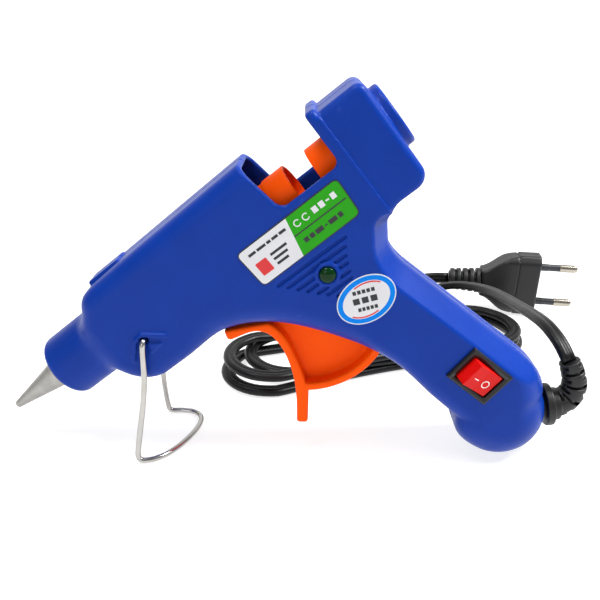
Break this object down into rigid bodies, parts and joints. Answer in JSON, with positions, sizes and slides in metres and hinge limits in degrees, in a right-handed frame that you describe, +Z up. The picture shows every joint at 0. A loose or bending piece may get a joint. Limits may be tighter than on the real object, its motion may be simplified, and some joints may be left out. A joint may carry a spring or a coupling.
{
  "type": "glue gun",
  "caption": "Small mains hot-melt glue gun with a wire stand, feed trigger, rocker switch, side label, and a flat cord wound in a hank with its two-pin plug.",
  "frame": {"origin": "on the table, under the middle of the gun's bounding box, without the cord", "axes": "+X from the nozzle to the handle's end, +Y across the gun to its right side, +Z up"},
  "size_m": [0.2393, 0.149, 0.1224],
  "materials": {
    "casing_blue": "moulded ABS with a fine grain, low sheen",
    "feed_orange": "moulded nylon, semi-gloss",
    "nozzle_metal": "turned, with fine lathe marks",
    "heater_metal": "cast and machined",
    "steel": "bright drawn wire and screws",
    "spring_steel": "hardened strip and wire",
    "ceramic": "sintered heater element",
    "film": "polyimide film",
    "silicone": "soft silicone",
    "switch_black": "moulded nylon",
    "rocker_red": "translucent polycarbonate",
    "brass": "stamped",
    "led_green": "tinted epoxy lens",
    "board": "laminate",
    "wire_insulation": "extruded insulation",
    "cord_black": "extruded flexible PVC, satin",
    "label_film": "printed film",
    "sticker_film": "printed film",
    "clamp_grey": "moulded nylon",
    "sleeve_grey": "moulded nylon",
    "plated": "nickel plated"
  },
  "bodies": {
    "casing": {"left_shell": "casing_blue", "right_shell": "casing_blue", "shell_screws": "steel", "nozzle": "nozzle_metal", "front_bush": "silicone", "heating_chamber": "heater_metal", "ptc_heater": "ceramic", "heater_film": "film", "heater_clip": "spring_steel", "feed_tube": "silicone", "rear_guide": "feed_orange", "trigger_pin": "steel", "switch_body": "switch_black", "switch_terminals": "brass", "led_lens": "led_green", "led_board": "board", "internal_wires": "wire_insulation", "cord_clamp": "clamp_grey", "clamp_screws": "steel", "strain_relief": "cord_black", "side_label": "label_film", "rating_sticker": "sticker_film", "cord_lead": "cord_black", "cord_hank": "cord_black", "cord_tail": "cord_black", "plug_body": "cord_black", "plug_relief": "cord_black", "plug_pins": "plated", "pin_sleeves": "sleeve_grey"},
    "trigger": {"trigger": "feed_orange", "trigger_spring": "spring_steel"},
    "feeder": {"feed_carriage": "feed_orange"},
    "rocker": {"switch_rocker": "rocker_red"},
    "stand": {"wire_stand": "steel"}
  },
  "joints": [
    {"name": "trigger_pull", "type": "hinge", "parent": "casing", "child": "trigger", "pos_m": [0.0085, 0, 0.0523], "axis": [0, -1, 0], "range_deg": [0, 19], "stiffness_Nm_per_rad": 0.35, "springref_deg": -14.32},
    {"name": "feeder_slide", "type": "slide", "parent": "casing", "child": "feeder", "axis": [-0.7716, 0, -0.6361], "range_m": [0, 0.0069]},
    {"name": "rocker_tilt", "type": "hinge", "parent": "casing", "child": "rocker", "pos_m": [0.0644, -0.0122, 0.0353], "axis": [0.6157, 0, 0.788], "range_deg": [-16, 0]},
    {"name": "stand_fold", "type": "hinge", "parent": "casing", "child": "stand", "pos_m": [-0.0415, 0, 0.0452], "axis": [0, -1, 0], "range_deg": [-8, 42]}
  ],
  "couplings": [
    {"joint": "feeder_slide", "follows": "trigger_pull", "m_per_rad": 0.0202}
  ]
}
